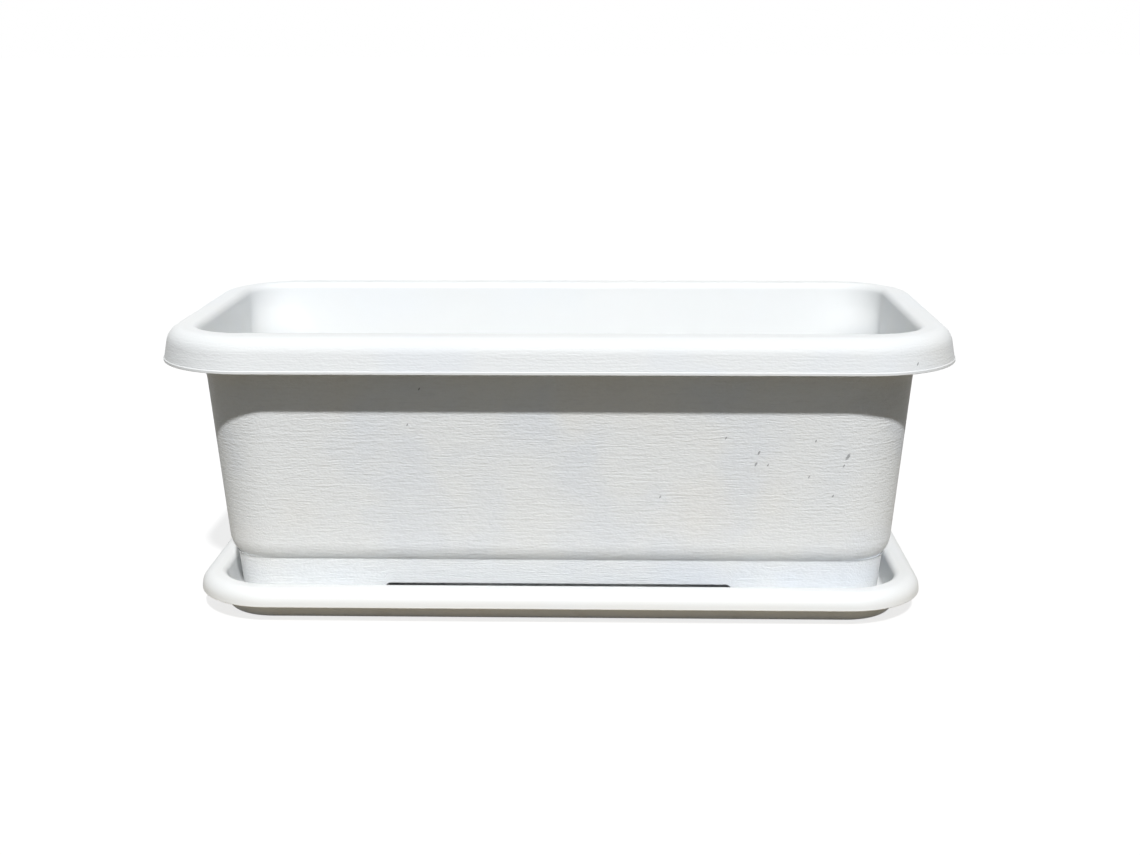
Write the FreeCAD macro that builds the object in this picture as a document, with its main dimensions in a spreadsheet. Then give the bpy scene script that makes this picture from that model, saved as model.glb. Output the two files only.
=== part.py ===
import FreeCAD, Part
import math
import os

import Sketcher
from FreeCAD import Vector

# Window-box herb planter: a trough with a rolled rim, standing in a drip tray.
# Millimetres, +Z up. X runs along the trough and the front looks towards -Y.
# The origin lies under the middle of the tray, on the surface that it stands on.
#
# Each of the two mouldings is one wall section, swept round a rounded rectangle
# and closed by a floor. Insets in a section are measured inwards from the lower
# outer edge of that moulding's rim, and heights upwards from its own foot.

SIZES = {
    # Tub, seen from above
    "rim_length": 400.0,
    "rim_width": 200.0,
    "foot_corner_radius": 12.1,
    # Tub wall, from the foot up to the rim
    "tub_height": 147.5,
    "tub_wall": 2.2,
    "foot_inset": 36.7,
    "plinth_height": 26.3,
    "crease_inset": 33.5,
    "shoulder_rise": 3.0,
    "shoulder_inset": 29.5,
    "shoulder_radius": 10.5,
    "body_inset": 19.7,
    # Tub rim
    "rim_drop": 17.3,
    "rim_lean": 3.6,
    "crown_radius": 9.0,
    "bead_height": 1.3,
    "bead_reach": 0.5,
    # Tub floor
    "floor_rise": 13.3,
    "floor_chamfer": 3.0,
    "notch_length": 179.0,
    "notch_height": 12.6,
    "notch_corner_radius": 3.0,
    "drain_diameter": 10.0,
    "drain_pitch": 80.0,
    "drain_row_spacing": 70.0,
    "gate_mark_diameter": 6.0,
    "gate_mark_height": 0.6,
    # Tray
    "tray_gap": 9.9,
    "tray_height": 19.0,
    "tray_wall": 2.0,
    "tray_corner_radius": 36.0,
    "tray_flare": 2.5,
    "tray_rim_width": 12.8,
    "tray_rim_drop": 8.9,
    "tray_rim_lean": 0.8,
    "tray_crown_radius": 7.0,
    "tray_lip_chamfer": 2.0,
    "tray_floor_chamfer": 2.0,
    "tray_edge_chamfer": 2.0,
    "tray_foot_height": 1.0,
    "tray_foot_width": 5.0,
    # How far a cut runs past the solid, and a floor into its wall
    "cut_overrun": 2.0,
    "floor_overlap": 1.0,
}
COUNTS = {
    "drains_per_row": 4,
    "drain_rows": 2,
}
FLOOR_LEDGE_SHARE = 0.55
UNDERSIDE_CHAMFER_SHARE = 0.5


class Size:
    """A length together with the sheet formula that gives it."""

    def __init__(self, value, formula):
        self.value = value
        self.formula = formula

    def join(self, sign, other, swap=False):
        other = other if isinstance(other, Size) else Size(float(other), repr(other))
        left, right = (other, self) if swap else (self, other)
        results = {
            "+": lambda: left.value + right.value,
            "-": lambda: left.value - right.value,
            "*": lambda: left.value * right.value,
            "/": lambda: left.value / right.value,
        }
        return Size(results[sign](), f"({left.formula} {sign} {right.formula})")

    def __add__(self, other):
        return self.join("+", other)

    def __radd__(self, other):
        return self.join("+", other, swap=True)

    def __sub__(self, other):
        return self.join("-", other)

    def __rsub__(self, other):
        return self.join("-", other, swap=True)

    def __mul__(self, other):
        return self.join("*", other)

    def __rmul__(self, other):
        return self.join("*", other, swap=True)

    def __truediv__(self, other):
        return self.join("/", other)

    def __neg__(self):
        return Size(-self.value, f"(-{self.formula})")


ZERO = Size(0.0, "0")


class Corner:
    """A corner of an outline, rounded when it has a radius."""

    def __init__(self, x, y, radius=None):
        self.x = x
        self.y = y
        self.radius = radius
        self.point = Vector(x.value, y.value, 0)

    def rounding(self, before, after):
        """The start, middle and end of the arc that rounds this corner."""
        back = (before.point - self.point).normalize()
        ahead = (after.point - self.point).normalize()
        half_turn = back.getAngle(ahead) / 2
        reach = self.radius.value / math.tan(half_turn)
        centre = self.point + (back + ahead).normalize() * (self.radius.value / math.sin(half_turn))
        start = self.point + back * reach
        end = self.point + ahead * reach
        middle = centre + (self.point - centre).normalize() * self.radius.value
        return start, middle, end


def origin_plane(body, role):
    """One of the body's own three planes."""
    return [part for part in body.Origin.OriginFeatures if part.Role == role][0]


def new_sketch(body, name, role, height=None):
    """A sketch on one of the body's planes, lifted by a height when one is given."""
    sketch = body.newObject("Sketcher::SketchObject", name)
    sketch.AttachmentSupport = [(origin_plane(body, role), "")]
    sketch.MapMode = "FlatFace"
    if height:
        sketch.AttachmentOffset = FreeCAD.Placement(Vector(0, 0, height.value), FreeCAD.Rotation())
        sketch.setExpression("AttachmentOffset.Base.z", height.formula)
    return sketch


def bind(sketch, kind, places, length):
    """Adds a dimension and ties it to the sheet."""
    number = sketch.addConstraint(Sketcher.Constraint(kind, *places, length.value))
    sketch.setExpression(f"Constraints[{number}]", length.formula)


def place_point(sketch, geometry, end, corner):
    """Ties a point to its distances from the sketch's origin."""
    root, x_axis, y_axis = (-1, 1), -1, -2
    for kind, distance, axis in (("DistanceX", corner.x, y_axis), ("DistanceY", corner.y, x_axis)):
        if distance is ZERO:
            sketch.addConstraint(Sketcher.Constraint("PointOnObject", geometry, end, axis))
        elif distance.value < 0:
            bind(sketch, kind, (geometry, end, *root), -distance)
        else:
            bind(sketch, kind, (*root, geometry, end), distance)


def draw_outline(sketch, corners):
    """Draws a closed outline through the corners, starting at the first, a sharp one."""
    count = len(corners)
    arcs = {}
    for index, corner in enumerate(corners):
        if corner.radius:
            arcs[index] = corner.rounding(corners[index - 1], corners[(index + 1) % count])
    first_pieces = []
    last_pieces = []
    for index, corner in enumerate(corners):
        following = (index + 1) % count
        start = arcs[index][2] if index in arcs else corner.point
        end = arcs[following][0] if following in arcs else corners[following].point
        if index in arcs:
            first_pieces.append(sketch.addGeometry(Part.Arc(*arcs[index]), False))
            last_pieces.append(sketch.addGeometry(Part.LineSegment(start, end), False))
        else:
            line = sketch.addGeometry(Part.LineSegment(start, end), False)
            first_pieces.append(line)
            last_pieces.append(line)
    for index, corner in enumerate(corners):
        line_in = last_pieces[index - 1]
        line_out = last_pieces[index]
        if index in arcs:
            arc = first_pieces[index]
            arc_start, arc_end = arc_ends(sketch, arc, arcs[index][0])
            sketch.addConstraint(Sketcher.Constraint("Tangent", line_in, 2, arc, arc_start))
            sketch.addConstraint(Sketcher.Constraint("Tangent", arc, arc_end, line_out, 1))
            bind(sketch, "Radius", (arc,), corner.radius)
            apex = sketch.addGeometry(Part.Point(corner.point), True)
            place_point(sketch, apex, 1, corner)
            sketch.addConstraint(Sketcher.Constraint("PointOnObject", apex, 1, line_in))
            sketch.addConstraint(Sketcher.Constraint("PointOnObject", apex, 1, line_out))
        else:
            sketch.addConstraint(Sketcher.Constraint("Coincident", line_in, 2, line_out, 1))
            place_point(sketch, line_out, 1, corner)


def arc_ends(sketch, arc, start):
    """Which end of the arc lies at the start point, and which is the other."""
    if sketch.getPoint(arc, 1).distanceToPoint(start) < sketch.getPoint(arc, 2).distanceToPoint(start):
        return 1, 2
    return 2, 1


def draw_rounded_rectangle(sketch, half_length, half_width, radius):
    """Draws a rounded rectangle round the origin, from the middle of its +X side."""
    draw_outline(sketch, [
        Corner(half_length, ZERO),
        Corner(half_length, half_width, radius),
        Corner(-half_length, half_width, radius),
        Corner(-half_length, -half_width, radius),
        Corner(half_length, -half_width, radius),
    ])


def inset_at(height, low, high):
    """The inset at a height on the straight wall through two points of a section."""
    return low[0] + (high[0] - low[0]) * (height - low[1]) / (high[1] - low[1])


def sweep_wall(body, half_length, half_width, radius, corners):
    """Sweeps a wall section round a rounded rectangle. Its corners hold insets and heights."""
    path = new_sketch(body, "rim_path", "XY_Plane")
    draw_rounded_rectangle(path, half_length, half_width, radius)
    section = new_sketch(body, "wall_section", "XZ_Plane")
    draw_outline(section, [
        Corner(half_length - corner[0], *corner[1:]) for corner in corners
    ])
    doc.recompute()
    wall = body.newObject("PartDesign::AdditivePipe", "swept_wall")
    wall.Profile = (section, [""])
    wall.Spine = (path, [f"Edge{number + 1}" for number in range(len(path.Shape.Edges))])
    return wall


def pad(body, sketch, name, height, reverse=False):
    """Raises a sketch by a height."""
    feature = body.newObject("PartDesign::Pad", name)
    feature.Profile = (sketch, [""])
    feature.Reversed = reverse
    feature.setExpression("Length", height.formula)
    return feature


def make_tub(body):
    """The trough: rolled rim, tapered body, shoulder, plinth and raised floor."""
    wall = size["tub_wall"]
    height = size["tub_height"]
    half_length = size["rim_length"] / 2
    half_width = size["rim_width"] / 2
    corner_radius = size["foot_corner_radius"] + size["foot_inset"]

    # Straight stretches of the outer face, each through two points
    rim_edge = height - size["rim_drop"]
    shoulder = size["plinth_height"] + size["shoulder_rise"]
    skirt_line = ((size["bead_reach"], rim_edge), (size["rim_lean"], height))
    body_line = ((size["shoulder_inset"], shoulder), (size["body_inset"], rim_edge))
    plinth_line = ((size["foot_inset"], ZERO), (size["crease_inset"], size["plinth_height"]))

    # Hollow under the rim, with chamfers where the crown is round
    underside = height - wall
    chamfer = (size["crown_radius"] - wall) * UNDERSIDE_CHAMFER_SHARE
    chamfer_foot = underside - chamfer

    # The inside follows the shoulder and the crease, and is chamfered at the shoulder
    inner_shoulder = shoulder + wall / 2
    inner_shoulder_inset = inset_at(inner_shoulder, *body_line) + wall
    inner_crease = size["plinth_height"] + wall / 2
    inner_crease_inset = size["crease_inset"] + wall
    shoulder_top = inner_shoulder + size["shoulder_rise"] / 2

    # The floor meets the inner face of the plinth, and its ledge stops short of the corners' centres
    floor_top = size["floor_rise"] + wall
    floor_chamfer_top = floor_top + size["floor_chamfer"]
    floor_inset = inset_at(floor_top, *plinth_line) + wall
    foot_inner = size["foot_inset"] + wall
    ledge_end = foot_inner + (size["foot_corner_radius"] - wall) * FLOOR_LEDGE_SHARE

    sweep_wall(body, half_length, half_width, corner_radius, [
        (size["foot_inset"], ZERO),
        (size["crease_inset"], size["plinth_height"]),
        (size["shoulder_inset"], shoulder, size["shoulder_radius"]),
        (inset_at(chamfer_foot, *body_line), chamfer_foot),
        (inset_at(underside, *body_line) - chamfer, underside),
        (inset_at(underside, *skirt_line) + wall + chamfer, underside),
        (inset_at(chamfer_foot, *skirt_line) + wall, chamfer_foot),
        (size["bead_reach"] + wall, rim_edge),
        (ZERO, rim_edge),
        (ZERO, rim_edge + size["bead_height"]),
        (size["bead_reach"], rim_edge + size["bead_height"] + size["bead_reach"]),
        (size["rim_lean"], height, size["crown_radius"]),
        (inset_at(height, *body_line) + wall, height, size["crown_radius"]),
        (inset_at(shoulder_top, *body_line) + wall, shoulder_top),
        ((inner_shoulder_inset + inner_crease_inset) / 2, (inner_shoulder + inner_crease) / 2),
        (inner_crease_inset, inner_crease),
        (inset_at(floor_chamfer_top, *plinth_line) + wall, floor_chamfer_top),
        (floor_inset + size["floor_chamfer"], floor_top),
        (ledge_end, floor_top),
        (ledge_end, size["floor_rise"]),
        (inset_at(size["floor_rise"], *plinth_line) + wall, size["floor_rise"]),
        (foot_inner, ZERO),
    ])

    # Floor plate, inside the ledge of the swept wall
    plate_inset = ledge_end - size["floor_overlap"]
    plate = new_sketch(body, "floor_outline", "XY_Plane", size["floor_rise"])
    draw_rounded_rectangle(
        plate, half_length - plate_inset, half_width - plate_inset, corner_radius - plate_inset)
    pad(body, plate, "floor", wall)

    # Round mark of the moulding gate, under the middle of the floor
    mark = new_sketch(body, "gate_mark_outline", "XY_Plane", size["floor_rise"])
    mark.addGeometry(Part.Circle(Vector(0, 0, 0), Vector(0, 0, 1), size["gate_mark_diameter"].value / 2))
    mark.addConstraint(Sketcher.Constraint("Coincident", 0, 3, -1, 1))
    bind(mark, "Diameter", (0,), size["gate_mark_diameter"])
    pad(body, mark, "gate_mark", size["gate_mark_height"], reverse=True)

    # Water leaves from under the floor through a notch in the front and the back of the plinth
    half_notch = size["notch_length"] / 2
    notch = new_sketch(body, "notch_outline", "XZ_Plane")
    draw_outline(notch, [
        Corner(-half_notch, -size["cut_overrun"]),
        Corner(half_notch, -size["cut_overrun"]),
        Corner(half_notch, size["notch_height"], size["notch_corner_radius"]),
        Corner(-half_notch, size["notch_height"], size["notch_corner_radius"]),
    ])
    notches = body.newObject("PartDesign::Pocket", "notches")
    notches.Profile = (notch, [""])
    notches.SideType = "Symmetric"
    notches.Type = "ThroughAll"

    # Drain holes through the floor, in two rows
    first_x = -size["drain_pitch"] * (COUNTS["drains_per_row"] - 1) / 2
    first_y = -size["drain_row_spacing"] * (COUNTS["drain_rows"] - 1) / 2
    first = new_sketch(body, "drain_place", "XY_Plane", floor_top)
    first.addGeometry(Part.Circle(
        Vector(first_x.value, first_y.value, 0), Vector(0, 0, 1), size["drain_diameter"].value / 2))
    place_point(first, 0, 3, Corner(first_x, first_y))
    bind(first, "Diameter", (0,), size["drain_diameter"])
    doc.recompute()
    drain = body.newObject("PartDesign::Hole", "drain")
    drain.Profile = (first, [""])
    doc.recompute()
    drain.setExpression("Diameter", size["drain_diameter"].formula)
    drain.DepthType = "ThroughAll"
    doc.recompute()
    drains = body.newObject("PartDesign::LinearPattern", "drains")
    drains.Originals = [drain]
    drains.Direction = (first, ["H_Axis"])
    drains.setExpression("Length", (size["drain_pitch"] * (COUNTS["drains_per_row"] - 1)).formula)
    drains.Occurrences = COUNTS["drains_per_row"]
    drains.Direction2 = (first, ["V_Axis"])
    drains.setExpression("Length2", (size["drain_row_spacing"] * (COUNTS["drain_rows"] - 1)).formula)
    drains.Occurrences2 = COUNTS["drain_rows"]
    body.Tip = drains


def make_tray(body):
    """The drip tray: rolled rim, low wall and a floor on a foot ring, on which the tub stands."""
    wall = size["tray_wall"]
    height = size["tray_height"]
    rim_edge = height - size["tray_rim_drop"]
    floor_top = size["tray_foot_height"] + wall

    # Inner and outer face of the wall, and the skirt of the rim, each through two points
    wall_inset = size["tray_rim_width"] + size["tray_flare"]
    inner_line = ((wall_inset, floor_top), (size["tray_rim_width"], height))
    skirt_line = ((ZERO, rim_edge), (size["tray_rim_lean"], height))
    base_inset = inset_at(ZERO, *inner_line) - wall
    edge_top = size["tray_edge_chamfer"]
    foot_inner = base_inset + size["tray_edge_chamfer"] + size["tray_foot_width"]
    ledge_end = foot_inner + size["tray_foot_width"]

    # Hollow under the rim, with chamfers below the round crown and the chamfered lip
    underside = height - wall
    lip_top = height - size["tray_lip_chamfer"]
    crown_chamfer = (size["tray_crown_radius"] - wall) * UNDERSIDE_CHAMFER_SHARE
    lip_chamfer = size["tray_lip_chamfer"] * UNDERSIDE_CHAMFER_SHARE
    crown_foot = underside - crown_chamfer
    lip_foot = underside - lip_chamfer

    # The tray's floor reaches past the tub's foot by the same gap all round
    beyond_foot = size["tray_gap"] + wall_inset - size["foot_inset"]
    half_length = size["rim_length"] / 2 + beyond_foot
    half_width = size["rim_width"] / 2 + beyond_foot

    floor_chamfer_top = floor_top + size["tray_floor_chamfer"]
    sweep_wall(body, half_length, half_width, size["tray_corner_radius"], [
        (foot_inner, ZERO),
        (base_inset + size["tray_edge_chamfer"], ZERO),
        (inset_at(edge_top, *inner_line) - wall, edge_top),
        (inset_at(lip_foot, *inner_line) - wall, lip_foot),
        (inset_at(underside, *inner_line) - wall - lip_chamfer, underside),
        (inset_at(underside, *skirt_line) + wall + crown_chamfer, underside),
        (inset_at(crown_foot, *skirt_line) + wall, crown_foot),
        (wall, rim_edge),
        (ZERO, rim_edge),
        (size["tray_rim_lean"], height, size["tray_crown_radius"]),
        (size["tray_rim_width"] - size["tray_lip_chamfer"], height),
        (inset_at(lip_top, *inner_line), lip_top),
        (inset_at(floor_chamfer_top, *inner_line), floor_chamfer_top),
        (wall_inset + size["tray_floor_chamfer"], floor_top),
        (ledge_end, floor_top),
        (ledge_end, size["tray_foot_height"]),
        (foot_inner, size["tray_foot_height"]),
    ])

    # Floor plate, lifted by the foot ring
    plate_inset = ledge_end - size["floor_overlap"]
    plate = new_sketch(body, "floor_outline", "XY_Plane", size["tray_foot_height"])
    draw_rounded_rectangle(
        plate, half_length - plate_inset, half_width - plate_inset,
        size["tray_corner_radius"] - plate_inset)
    pad(body, plate, "floor", wall)


def new_body(label):
    """An empty sub-part with its name."""
    body = doc.addObject("PartDesign::Body", label)
    body.Label = label
    return body


doc = FreeCAD.newDocument("HerbPlanter")
sheet = doc.addObject("Spreadsheet::Sheet", "Sizes")
size = {}
for row, (alias, number) in enumerate(SIZES.items(), start=1):
    sheet.set(f"A{row}", alias.replace("_", " "))
    sheet.set(f"B{row}", str(number))
    sheet.setAlias(f"B{row}", alias)
    size[alias] = Size(number, f"Sizes.{alias}")
doc.recompute()

tray = new_body("drip_tray")
make_tray(tray)
tub = new_body("planter_tub")
make_tub(tub)

# The tub stands on the floor of the tray
tray_floor = size["tray_foot_height"] + size["tray_wall"]
tub.setExpression("Placement.Base.z", tray_floor.formula)
doc.recompute()

for item in doc.Objects:
    faults = [state for state in item.State if state in ("Invalid", "Error")]
    if faults:
        raise RuntimeError(f"{item.Name} is {faults}")
os.makedirs("parts", exist_ok=True)
for body in (tray, tub):
    if body.Shape.isNull() or not body.Shape.isValid() or len(body.Shape.Solids) != 1:
        raise RuntimeError(f"{body.Label} is not one valid solid")
for body in (tray, tub):
    body.Shape.exportStep(f"parts/{body.Label}.step")
    print(body.Label, body.Shape.BoundBox, round(body.Shape.Volume))
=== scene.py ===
"""Window-box herb planter: a white trough with a rolled rim, standing in its drip tray."""

import math

import bpy
from bpy.props import FloatProperty, FloatVectorProperty, IntProperty, PointerProperty
from mathutils import Matrix, Vector


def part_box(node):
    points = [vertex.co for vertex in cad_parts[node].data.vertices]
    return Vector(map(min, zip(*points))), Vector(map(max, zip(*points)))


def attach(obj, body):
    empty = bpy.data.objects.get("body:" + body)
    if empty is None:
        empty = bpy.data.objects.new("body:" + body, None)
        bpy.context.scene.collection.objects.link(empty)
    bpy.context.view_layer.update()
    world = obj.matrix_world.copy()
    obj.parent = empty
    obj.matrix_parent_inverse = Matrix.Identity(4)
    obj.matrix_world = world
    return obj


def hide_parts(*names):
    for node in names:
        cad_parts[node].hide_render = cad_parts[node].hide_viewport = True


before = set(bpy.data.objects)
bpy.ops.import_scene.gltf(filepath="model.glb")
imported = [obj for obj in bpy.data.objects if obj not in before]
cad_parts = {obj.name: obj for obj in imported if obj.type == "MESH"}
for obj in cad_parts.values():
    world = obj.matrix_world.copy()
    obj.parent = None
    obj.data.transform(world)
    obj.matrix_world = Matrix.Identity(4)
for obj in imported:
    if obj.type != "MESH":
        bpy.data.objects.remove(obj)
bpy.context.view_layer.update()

bl_info = {
    "name": "Herb Planter",
    "version": (1, 0, 0),
    "blender": (4, 5, 0),
    "location": "3D View > Sidebar > Planter",
    "description": "Makes a white plastic trough in its drip tray, and a plain studio for it",
    "category": "Add Mesh",
}

TUB_LOW, TUB_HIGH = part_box("planter_tub")
TRAY_LOW, TRAY_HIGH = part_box("drip_tray")

# Fineness of the meshes
BEND_STEP = math.radians(9)
CORNER_STEPS = 18
COLUMN = 0.009
SUPPORT = 0.0004
HAIR = 0.00002
CIRCLE_POINTS = 32
EASING_STEPS = 8
SHARP_ANGLE = math.radians(38)

# Trough: how much of the body's fuller corners its lower parts have, where the swept ledge of
# the floor ends, how much of the grain reaches the rim, and how round a drain hole's lip is
SHOULDER_FULLER = 0.8
CREASE_FULLER = 1 / 2
FOOT_FULLER = 1 / 3
LEDGE_SHARE = 0.7
SKIRT_GRAIN = 0.6
BEAD_GRAIN = 0.2
LIP_ROUNDING = 0.8

# Patterns of the plastic: lengths and heights in metres, scales in noise cells to the metre,
# and ranges of the noise or the height over which a pattern comes in
SWAY_LENGTH = 0.007
SWAY_HEIGHT = 0.004
SWAY_DEPTH = 0.0005
PEBBLE_SHORTER = 3
PEBBLE_LOWER = 1.3
RIPPLE_SHARE = 0.45
PEBBLE_SHARE = 0.28
THREAD_SHARE = 0.27
SATIN_SCALE = 1400.0
SATIN_SHARE = 0.03
COOL_SCALE = 19.0
COOL_RANGE = (0.46, 0.66)
WARM_SCALE = 15.0
WARM_RANGE = (0.56, 0.78)
WARM_OFFSET = (3.1, 1.7, 0.4)
SMOOTH_TINT = 0.3
# Painted shade in the hollows of the grain: its colour, where it comes in and its share
HOLLOW_SHADE_COLOUR = (0.45, 0.46, 0.45, 1)
HOLLOW_SHADE_RANGE = (0.42, 0.68)
HOLLOW_SHADE_SHARE = 0.10
# A warm darker tint in patches towards the bottom: its noise scale, range, heights and share
LOW_TINT_SCALE = 60.0
LOW_TINT_RANGE = (0.45, 0.7)
LOW_TINT_HEIGHTS = (0.004, 0.013)
LOW_TINT_SHARE = 0.22
PATCHY_ROUGHNESS = 0.12
RIPPLED_ROUGHNESS = 0.1
SCUFFED_ROUGHNESS = 0.1
PLASTIC_IOR = 1.46

# Dark marks rubbed into the front: place along X, height above the ground, and size. They are
# strokes with ragged edges, and stop over FRONT_DEPTH, where Y moves them FAR_OFF strokes away
SCUFFS = [
    (0.0845, 0.0969, 1.0), (0.1011, 0.0891, 1.2), (0.0998, 0.0832, 1.4), (0.1058, 0.0827, 0.9),
    (0.1291, 0.0955, 0.9), (0.1453, 0.0871, 2.1), (0.1436, 0.0824, 1.0), (0.1265, 0.0764, 0.9),
    (0.1389, 0.0663, 0.9), (0.0522, 0.0653, 0.9), (-0.0675, 0.1219, 1.0), (-0.0742, 0.1031, 0.9),
    (0.1744, 0.1380, 1.0),
]
SCUFF_LEAN = math.radians(62)
SCUFF_HALF_LENGTH = 0.0011
SCUFF_HALF_WIDTH = 0.00045
SCUFF_NOISE_SCALE = 900.0
SCUFF_RAGGED = 0.9
SCUFF_EDGE = (0.45, 1.05)
SCUFF_GRAIN = (0.1, 0.3)
FRONT_DEPTH = (-0.02, 0.0)
FAR_OFF = 20

# Stage: the floor's glow, where its bounce fades beside the tray, and the lamps and camera
GLOW = 1.08
GLOW_SHARE = 0.72
BOUNCE_RANGE = (0.03, 0.15)
LAMP_DISTANCE = 3
SENSOR_WIDTH = 36
CAMERA_CLIP = (0.01, 100)


def length(name, description, millimetres):
    """A length property, given here in millimetres and kept in metres."""
    return FloatProperty(
        name=name, description=description, default=millimetres / 1000, unit="LENGTH", precision=4)


def colour(name, description, default):
    """A colour property, in linear red, green and blue."""
    return FloatVectorProperty(
        name=name, description=description, default=default, subtype="COLOR", min=0, max=1)


def share(name, description, default):
    """A number between 0 and 1."""
    return FloatProperty(name=name, description=description, default=default, min=0, max=1)


def how_many(name, description, default):
    """A whole number of at least 1."""
    return IntProperty(name=name, description=description, default=default, min=1)


def level(name, description, default):
    """The strength of a light."""
    return FloatProperty(name=name, description=description, default=default, min=0)


def angle(name, description, degrees):
    """An angle property, given here in degrees and kept in radians."""
    return FloatProperty(
        name=name, description=description, default=math.radians(degrees), subtype="ANGLE")


class TubSizes(bpy.types.PropertyGroup):
    """Sizes of the trough. Insets go inwards from the rim's edge, heights up from its foot."""

    foot_corner_radius: length(
        "Foot corner", "Radius of the foot's corners, seen from above", 12.1)
    wall: length("Wall", "Thickness of the plastic", 2.2)
    foot_inset: length("Foot inset", "How far in the foot stands", 36.7)
    plinth_height: length("Plinth height", "Height of the crease above the foot", 26.3)
    crease_inset: length("Crease inset", "How far in the crease above the plinth lies", 33.5)
    shoulder_rise: length("Shoulder rise", "Height of the shoulder above the crease", 4.3)
    shoulder_inset: length("Shoulder inset", "How far in the shoulder's corner lies", 29.4)
    shoulder_radius: length("Shoulder radius", "Rounding of the shoulder", 14.0)
    body_inset: length("Body inset", "How far in the body is, level with the rim's edge", 19.7)
    rim_drop: length("Rim drop", "Height of the rim's skirt", 17.3)
    rim_lean: length("Rim lean", "How far the skirt leans in at its top", 3.6)
    crown_radius: length("Crown radius", "Rounding of the rim's outer top", 9.0)
    mouth_radius: length("Mouth rounding", "Rounding of the rim's inner top", 3.8)
    body_fuller: length(
        "Fuller corners", "How much rounder the body's corners are than the rim's less the inset",
        7.0)
    easing_below: length(
        "Easing below", "How far below the rim's edge the fuller corners are reached", 12.0)
    end_reach: share("End reach", "Share by which the insets are less at the two ends", 0.07)
    mouth_tighter: length(
        "Tighter mouth", "How much tighter the mouth's corners are than the rim's less the inset",
        3.5)
    bead_height: length("Bead height", "Height of the small bead along the skirt's edge", 1.3)
    bead_reach: length("Bead reach", "How far the bead stands out of the skirt", 0.5)
    floor_rise: length("Floor rise", "Height of the floor's underside above the foot", 13.3)
    floor_radius: length("Floor rounding", "Rounding where the floor meets the wall", 3.6)
    notch_length: length(
        "Notch length", "Length of the notch in the plinth, front and back", 179.0)
    notch_height: length("Notch height", "Height of the notch above the foot", 12.6)
    notch_radius: length("Notch rounding", "Rounding of the notch's upper corners", 3.0)
    drain_diameter: length("Drain diameter", "Width of a drain hole", 10.0)
    drain_lip: length("Drain lip", "Rounding of a drain hole's edges", 0.5)
    drain_pitch: length("Drain pitch", "Distance between drain holes in a row", 80.0)
    drain_row_spacing: length("Drain rows apart", "Distance between the rows of drain holes", 70.0)
    drains_per_row: how_many("Drains per row", "Holes in each row", 4)
    drain_rows: how_many("Drain rows", "Number of rows of holes", 2)
    mark_diameter: length("Gate mark", "Width of the round mark under the floor", 6.0)
    mark_height: length("Gate mark height", "How far the mark stands out", 0.6)


class TraySizes(bpy.types.PropertyGroup):
    """Sizes of the tray. Insets go inwards from its rim's edge, heights up from its foot."""

    corner_radius: length("Corner radius", "Radius of the rim's corners, seen from above", 41.0)
    wall: length("Wall", "Thickness of the plastic", 2.0)
    flare: length("Flare", "How far the inner wall leans out towards its top", 2.5)
    rim_width: length("Rim width", "Width of the rolled rim, seen from above", 12.8)
    rim_drop: length("Rim drop", "Height of the rim's skirt", 8.9)
    rim_lean: length("Rim lean", "How far the skirt leans in at its top", 0.8)
    crown_radius: length("Crown radius", "Rounding of the rim's outer top", 7.0)
    lip_radius: length("Lip rounding", "Rounding of the rim's inner top", 3.2)
    floor_radius: length("Floor rounding", "Rounding where the floor meets the wall", 3.0)
    edge_radius: length("Edge rounding", "Rounding of the outer bottom edge", 3.0)
    foot_height: length("Foot height", "Height of the ring that the tray stands on", 1.0)
    foot_width: length("Foot width", "Width of that ring", 5.0)


class PlasticLook(bpy.types.PropertyGroup):
    """The white plastic and what has happened to it."""

    tub_colour: colour("Tub colour", "Colour of the trough", (0.885, 0.897, 0.895))
    tray_colour: colour("Tray colour", "Colour of the tray", (0.888, 0.898, 0.896))
    # The grained walls' colour is lighter than the smooth plastic's: painted light on the walls
    grain_painted_light_colour: colour("Grain colour", "Colour of the grained plastic", (0.918, 0.938, 0.947))
    cool_tint: colour("Cool tint", "Colour of the cooler patches", (0.865, 0.90, 0.945))
    warm_tint: colour("Warm tint", "Colour of the warmer patches", (0.93, 0.927, 0.904))
    scuff_colour: colour("Scuff colour", "Colour of rubbed-in dark marks", (0.24, 0.25, 0.26))
    # Colour of a warm darker tint in patches towards the bottom
    low_tint_colour: colour("Film colour", "Colour of what water leaves behind", (0.60, 0.55, 0.46))
    tint_share: share("Tints", "How strongly the patches show", 0.75)
    scuff_share: share("Scuffs", "How strongly the dark marks show", 0.75)
    roughness: share("Roughness", "Roughness of the smooth plastic", 0.55)
    grain_roughness: share("Grain roughness", "Roughness of the grained plastic", 0.64)
    grain_length: length("Grain length", "Length of the grain's ripples along the wall", 4.4)
    thread_length: length(
        "Thread length", "Length of the long fine lines between the ripples", 18.0)
    grain_height: length("Grain height", "Height of one ripple on the wall", 0.98)
    grain_depth: length("Grain depth", "Depth of the ripples", 0.5)


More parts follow.
